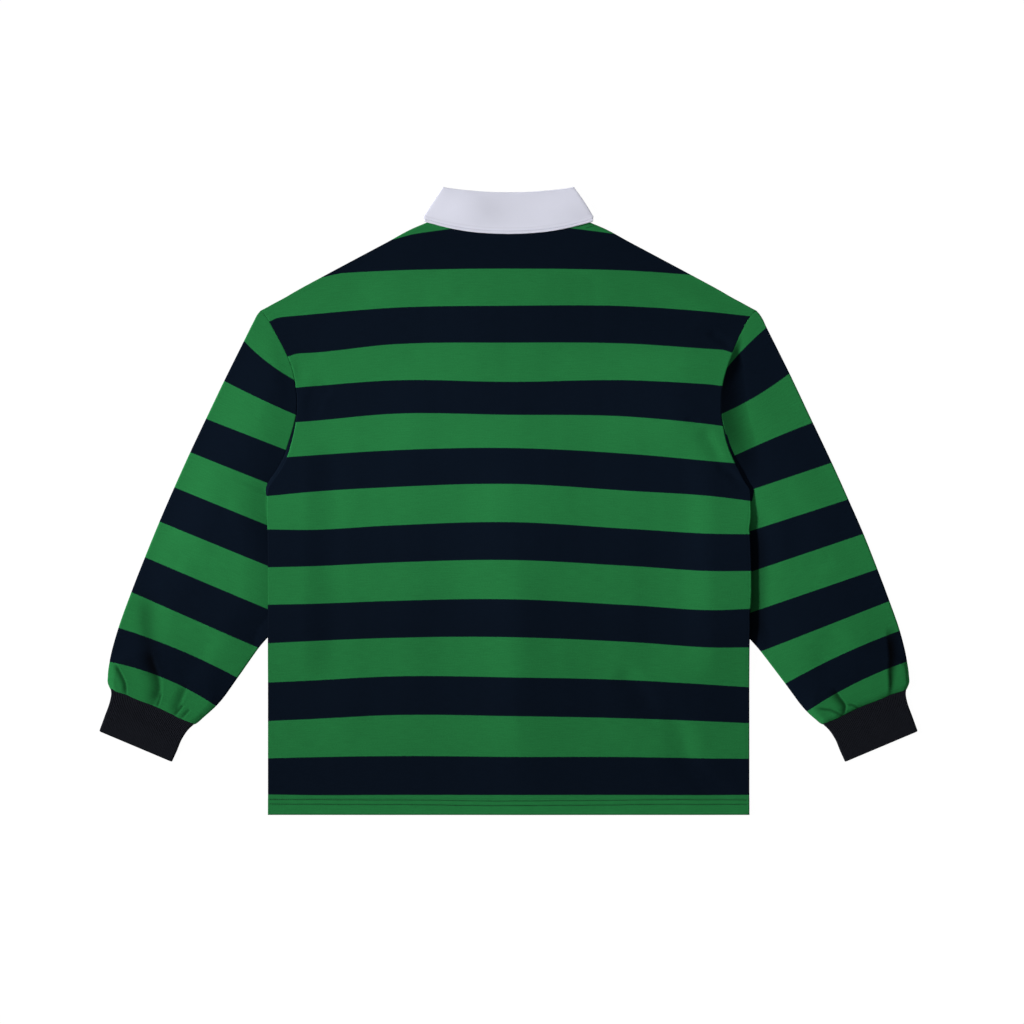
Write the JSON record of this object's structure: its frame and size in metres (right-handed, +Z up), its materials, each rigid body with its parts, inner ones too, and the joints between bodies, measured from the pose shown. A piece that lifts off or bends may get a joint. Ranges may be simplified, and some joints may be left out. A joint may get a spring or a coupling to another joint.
{
  "type": "polo shirt",
  "caption": "Long-sleeved polo shirt in wide two-colour hoops, with a white collar and ribbed cuffs, laid flat on its front with its back uppermost.",
  "frame": {"origin": "the middle of the shirt's footprint, on the surface that it lies on", "axes": "+X across the chest, +Y from the hem towards the collar, +Z up, out of the back of the shirt"},
  "size_m": [0.9826, 0.753, 0.0102],
  "materials": {
    "jersey": "matte striped cotton jersey",
    "rib": "matte knitted rib",
    "twill": "matte woven cotton twill",
    "button": "satin resin"
  },
  "bodies": {
    "root": {"back_panel": "jersey", "front_panel": "jersey", "sleeve_left": "jersey", "sleeve_right": "jersey", "cuff_left": "rib", "cuff_right": "rib", "collar": "twill", "placket": "twill", "button_1": "button", "button_2": "button", "button_3": "button"}
  },
  "joints": []
}
